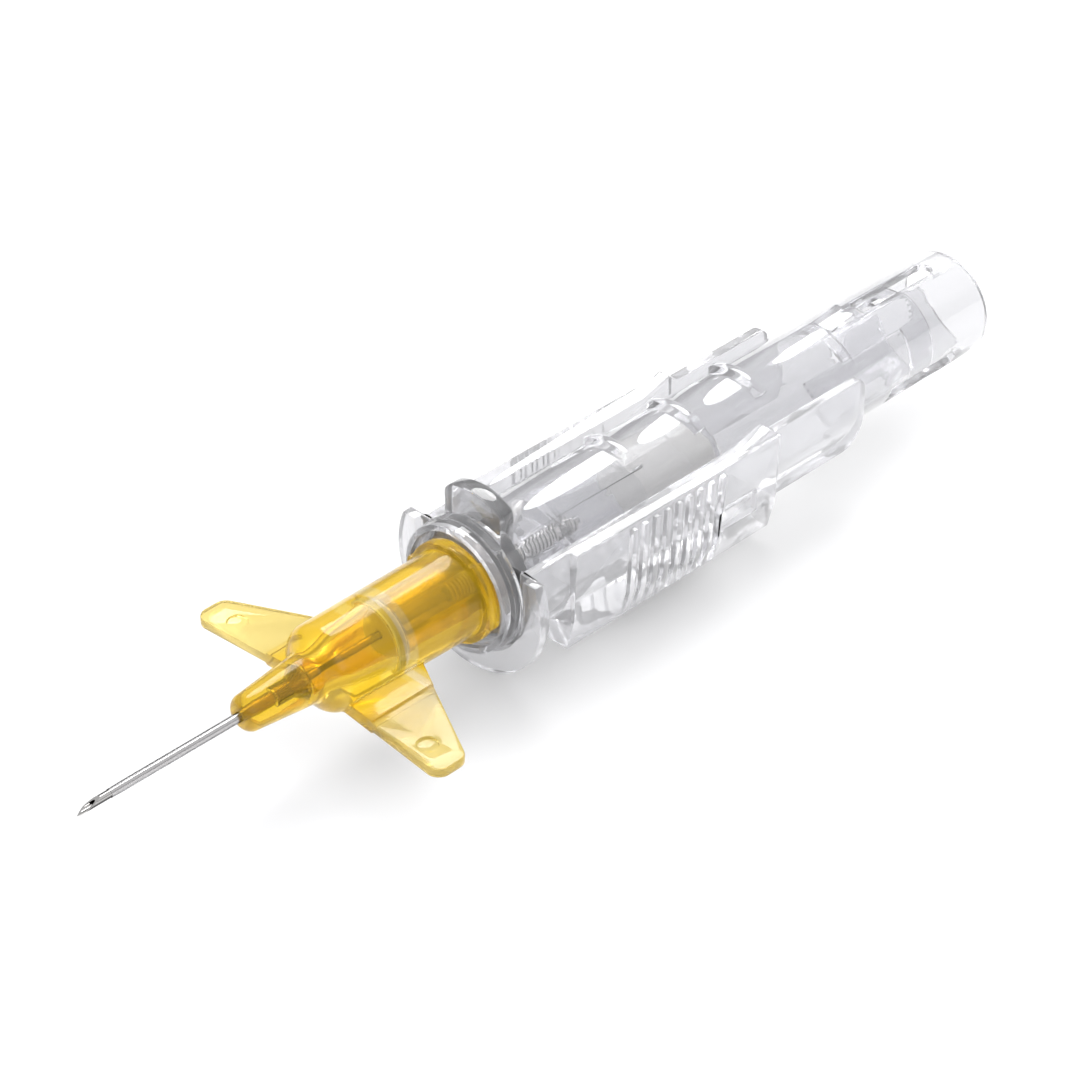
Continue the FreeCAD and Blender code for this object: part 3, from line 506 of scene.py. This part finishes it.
def wound_steel(name, colour, outside, depth):
    """Bright wire with painted shade, near black, in the grooves between its turns."""
    material, tree, shader = new_material(name)
    place = add_node(tree, "ShaderNodeTexCoord")
    across = add_node(tree, "ShaderNodeVectorMath", operation="MULTIPLY_ADD")
    across.inputs[1].default_value = (1, 0, 1)
    across.inputs[2].default_value = (0, 0, -NEEDLE_AXIS)
    link(tree, place.outputs["Object"], across.inputs[0])
    reach = add_node(tree, "ShaderNodeVectorMath", operation="LENGTH")
    link(tree, across.outputs["Vector"], reach.inputs[0])
    # painted shade: the wire darkens the nearer it dips towards the needle, between its turns
    groove_shade_mask = add_node(tree, "ShaderNodeMapRange", interpolation_type="SMOOTHSTEP")
    groove_shade_mask.inputs["From Min"].default_value = outside - depth * 0.7
    groove_shade_mask.inputs["From Max"].default_value = outside - depth * 0.12
    link(tree, reach.outputs["Value"], groove_shade_mask.inputs["Value"])
    tone = add_node(tree, "ShaderNodeValToRGB")
    tone.color_ramp.elements[0].color = (0.02, 0.02, 0.018, 1)
    tone.color_ramp.elements[1].color = (*colour, 1)
    link(tree, groove_shade_mask.outputs["Result"], tone.inputs["Fac"])
    link(tree, tone.outputs["Color"], shader.inputs["Base Color"])
    rough = add_node(tree, "ShaderNodeMapRange")
    rough.inputs["To Min"].default_value = 0.4
    rough.inputs["To Max"].default_value = 0.2
    link(tree, groove_shade_mask.outputs["Result"], rough.inputs["Value"])
    link(tree, rough.outputs["Result"], shader.inputs["Roughness"])
    shader.inputs["Metallic"].default_value = 1.0
    return material


def coil_tree():
    """Geometry group: a wire wound round a straight line along Y."""
    group = bpy.data.node_groups.new("wound_wire", "GeometryNodeTree")
    add_socket(group, "Front", "INPUT", "NodeSocketVector")
    add_socket(group, "Length", "INPUT", "NodeSocketFloat", 12 * MM)
    add_socket(group, "Pitch", "INPUT", "NodeSocketFloat", 0.33 * MM)
    add_socket(group, "Coil Radius", "INPUT", "NodeSocketFloat", 0.6 * MM)
    add_socket(group, "Wire Radius", "INPUT", "NodeSocketFloat", 0.14 * MM)
    add_socket(group, "Material", "INPUT", "NodeSocketMaterial")
    add_socket(group, "Geometry", "OUTPUT", "NodeSocketGeometry")
    start = add_node(group, "NodeGroupInput")
    end = add_node(group, "NodeGroupOutput")
    turns = add_node(group, "ShaderNodeMath", operation="DIVIDE")
    link(group, start.outputs["Length"], turns.inputs[0])
    link(group, start.outputs["Pitch"], turns.inputs[1])
    spiral = add_node(group, "GeometryNodeCurveSpiral")
    spiral.inputs["Resolution"].default_value = 20
    link(group, turns.outputs["Value"], spiral.inputs["Rotations"])
    link(group, start.outputs["Coil Radius"], spiral.inputs["Start Radius"])
    link(group, start.outputs["Coil Radius"], spiral.inputs["End Radius"])
    link(group, start.outputs["Length"], spiral.inputs["Height"])
    ring = add_node(group, "GeometryNodeCurvePrimitiveCircle")
    ring.inputs["Resolution"].default_value = 8
    link(group, start.outputs["Wire Radius"], ring.inputs["Radius"])
    skin = add_node(group, "GeometryNodeCurveToMesh")
    skin.inputs["Fill Caps"].default_value = True
    link(group, spiral.outputs["Curve"], skin.inputs["Curve"])
    link(group, ring.outputs["Curve"], skin.inputs["Profile Curve"])
    lie = add_node(group, "GeometryNodeTransform")
    lie.inputs["Rotation"].default_value = (math.radians(-90), 0, 0)
    link(group, skin.outputs["Mesh"], lie.inputs["Geometry"])
    link(group, start.outputs["Front"], lie.inputs["Translation"])
    smooth = add_node(group, "GeometryNodeSetShadeSmooth")
    link(group, lie.outputs["Geometry"], smooth.inputs["Geometry"])
    real = add_node(group, "GeometryNodeRealizeInstances")
    link(group, smooth.outputs["Geometry"], real.inputs["Geometry"])
    coat = add_node(group, "GeometryNodeSetMaterial")
    link(group, real.outputs["Geometry"], coat.inputs["Geometry"])
    link(group, start.outputs["Material"], coat.inputs["Material"])
    link(group, coat.outputs["Geometry"], end.inputs["Geometry"])
    return group


def grown(name, tree, **values):
    """A mesh object that a geometry group makes from named input values."""
    seed = bpy.data.objects.new(name, bpy.data.meshes.new(name))
    bpy.context.scene.collection.objects.link(seed)
    maker = seed.modifiers.new(name, "NODES")
    maker.node_group = tree
    for item in tree.interface.items_tree:
        if item.item_type == "SOCKET" and item.in_out == "INPUT":
            key = item.name.lower().replace(" ", "_")
            if key in values:
                maker[item.identifier] = values[key]
    return baked(seed, name)


class CANNULA_OT_needle(bpy.types.Operator):
    """Steel needle and the wire wound on it"""
    bl_idname = "cannula.needle"
    bl_label = "Needle"

    def execute(self, context):
        metal = context.scene.cannula_steel
        bright = steel("needle_steel", metal.steel_colour, 0.12)
        piece = merged_copy("needle", "steel_needle", 0.0, 20.0)
        dress(piece, bright, "handle_body", "needle_steel", "needle")
        low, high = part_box("needle_sleeve")
        radius = (high.x - low.x) / 2
        wound = wound_steel("wire_steel", (0.92, 0.9, 0.84), radius, metal.wire_radius)
        length = high.y - low.y - 2 * metal.wire_radius
        piece = grown(
            "wound_sleeve", coil_tree(),
            front=(0.0, low.y + metal.wire_radius, NEEDLE_AXIS),
            length=length, pitch=metal.wire_pitch,
            coil_radius=radius - metal.wire_radius,
            wire_radius=metal.wire_radius, material=wound)
        dress(piece, wound, "handle_body", "sleeve_steel", "needle_sleeve")
        return {"FINISHED"}


# stage

class CANNULA_OT_stage(bpy.types.Operator):
    """Pale floor, soft lights and the camera"""
    bl_idname = "cannula.stage"
    bl_label = "Stage"

    def execute(self, context):
        stage = context.scene.cannula_stage
        self.make_floor(context, stage)
        self.make_world(context)
        self.make_lights(context, stage)
        self.make_camera(context)
        context.scene.view_settings.view_transform = "Standard"
        cycles = context.scene.cycles
        cycles.max_bounces = 32
        cycles.transmission_bounces = 32
        cycles.glossy_bounces = 32
        cycles.caustics_refractive = False
        cycles.caustics_reflective = False
        cycles.transparent_max_bounces = 40
        return {"FINISHED"}

    def make_floor(self, context, stage):
        mesh = bpy.data.meshes.new("floor")
        reach = 3.0
        drop = -0.01 * MM
        sides = ((-1, -1), (1, -1), (1, 1), (-1, 1))
        mesh.from_pydata([(x * reach, y * reach, drop) for x, y in sides], [], [(0, 1, 2, 3)])
        floor = bpy.data.objects.new("floor", mesh)
        context.scene.collection.objects.link(floor)
        material, tree, shader = new_material("floor_paper")
        shader.inputs["Base Color"].default_value = (*stage.floor_colour, 1)
        shader.inputs["Roughness"].default_value = 0.9
        shader.inputs["Specular IOR Level"].default_value = 0.1
        out = tree.nodes["Material Output"]
        path = add_node(tree, "ShaderNodeLightPath")
        seen = add_node(tree, "ShaderNodeMath", operation="MAXIMUM")
        link(tree, path.outputs["Is Camera Ray"], seen.inputs[0])
        link(tree, path.outputs["Is Transmission Ray"], seen.inputs[1])
        also = add_node(tree, "ShaderNodeMath", operation="MAXIMUM")
        link(tree, seen.outputs["Value"], also.inputs[0])
        link(tree, path.outputs["Is Glossy Ray"], also.inputs[1])
        level = add_node(tree, "ShaderNodeMath", operation="MULTIPLY")
        level.inputs[1].default_value = 0.02
        link(tree, also.outputs["Value"], level.inputs[0])
        glow = add_node(tree, "ShaderNodeEmission")
        link(tree, level.outputs["Value"], glow.inputs["Strength"])
        both = add_node(tree, "ShaderNodeAddShader")
        link(tree, shader.outputs["BSDF"], both.inputs[0])
        link(tree, glow.outputs["Emission"], both.inputs[1])
        link(tree, both.outputs["Shader"], out.inputs["Surface"])
        mesh.materials.append(material)

    def make_world(self, context):
        world = bpy.data.worlds.new("studio")
        context.scene.world = world
        world.use_nodes = True
        tree = world.node_tree
        tree.nodes.clear()
        place = add_node(tree, "ShaderNodeTexCoord")
        apart = add_node(tree, "ShaderNodeSeparateXYZ")
        link(tree, place.outputs["Generated"], apart.inputs["Vector"])
        ramp = add_node(tree, "ShaderNodeValToRGB")
        ramp.color_ramp.elements[0].position = 0.2
        ramp.color_ramp.elements[0].color = (0.4, 0.4, 0.41, 1)
        ramp.color_ramp.elements[1].position = 0.35
        ramp.color_ramp.elements[1].color = (0.86, 0.86, 0.865, 1)
        link(tree, apart.outputs["Z"], ramp.inputs["Fac"])
        glow = add_node(tree, "ShaderNodeBackground")
        glow.inputs["Strength"].default_value = 1.0
        path = add_node(tree, "ShaderNodeLightPath")
        behind = add_node(tree, "ShaderNodeMix", data_type="RGBA")
        link(tree, path.outputs["Is Camera Ray"], behind.inputs["Factor"])
        link(tree, ramp.outputs["Color"], behind.inputs[COLOUR_A])
        behind.inputs[COLOUR_B].default_value = (1, 1, 1, 1)
        link(tree, behind.outputs[COLOUR_OUT], glow.inputs["Color"])
        out = add_node(tree, "ShaderNodeOutputWorld")
        link(tree, glow.outputs["Background"], out.inputs["Surface"])

    def make_lights(self, context, stage):
        for name, spot, size, power in (
            ("key", (-0.232, 0.278, 0.452), 0.34, stage.key_power),
            ("fill", (0.42, -0.25, 0.3), 0.45, stage.fill_power),
        ):
            lamp = bpy.data.lights.new(name, "AREA")
            lamp.shape = "DISK"
            lamp.size = size
            lamp.energy = power
            holder = bpy.data.objects.new(name, lamp)
            holder.location = spot
            aim = Vector((0, 0, 0.005)) - Vector(spot)
            holder.rotation_euler = aim.to_track_quat("-Z", "Y").to_euler()
            context.scene.collection.objects.link(holder)

    def make_camera(self, context):
        lens = bpy.data.cameras.new("camera")
        lens.lens = 117.78
        lens.sensor_width = 36.0
        lens.clip_start = 0.01
        lens.clip_end = 10.0
        camera = bpy.data.objects.new("camera", lens)
        turn = math.radians(44.877)
        tip = math.radians(35.729)
        back = Vector((math.sin(turn) * math.cos(tip), -math.cos(turn) * math.cos(tip), math.sin(tip)))
        right = Vector((math.cos(turn), math.sin(turn), 0))
        up = back.cross(right)
        frame_axes = Matrix((right, up, back)).transposed()
        spot = Vector((140.25 * MM, -143.01 * MM, 144.0 * MM + NEEDLE_AXIS))
        camera.matrix_world = Matrix.Translation(spot) @ frame_axes.to_4x4()
        context.scene.collection.objects.link(camera)
        context.scene.camera = camera


class CANNULA_PT_panel(bpy.types.Panel):
    """Sizes, colours and pieces of the cannula"""
    bl_label = "Cannula"
    bl_idname = "CANNULA_PT_panel"
    bl_space_type = "VIEW_3D"
    bl_region_type = "UI"
    bl_category = "Cannula"

    def draw(self, context):
        layout = self.layout
        for group in ("cannula_plastics", "cannula_steel", "cannula_stage"):
            settings = getattr(context.scene, group)
            box = layout.box()
            for name in settings.__annotations__:
                box.prop(settings, name)
        for operator in OPERATORS:
            layout.operator(operator.bl_idname)


OPERATORS = (
    CANNULA_OT_handle,
    CANNULA_OT_guard,
    CANNULA_OT_chamber,
    CANNULA_OT_hub,
    CANNULA_OT_catheter,
    CANNULA_OT_needle,
    CANNULA_OT_stage,
)
GROUPS = (CannulaPlastics, CannulaSteel, CannulaStage)


def register():
    for group in GROUPS + OPERATORS + (CANNULA_PT_panel,):
        bpy.utils.register_class(group)
    bpy.types.Scene.cannula_plastics = PointerProperty(type=CannulaPlastics)
    bpy.types.Scene.cannula_steel = PointerProperty(type=CannulaSteel)
    bpy.types.Scene.cannula_stage = PointerProperty(type=CannulaStage)


def unregister():
    del bpy.types.Scene.cannula_plastics
    del bpy.types.Scene.cannula_steel
    del bpy.types.Scene.cannula_stage
    for group in reversed(GROUPS + OPERATORS + (CANNULA_PT_panel,)):
        bpy.utils.unregister_class(group)


def main():
    register()
    bpy.ops.cannula.stage()
    bpy.ops.cannula.handle()
    bpy.ops.cannula.guard()
    bpy.ops.cannula.chamber()
    bpy.ops.cannula.hub()
    bpy.ops.cannula.catheter()
    bpy.ops.cannula.needle()


if __name__ == "__main__":
    main()
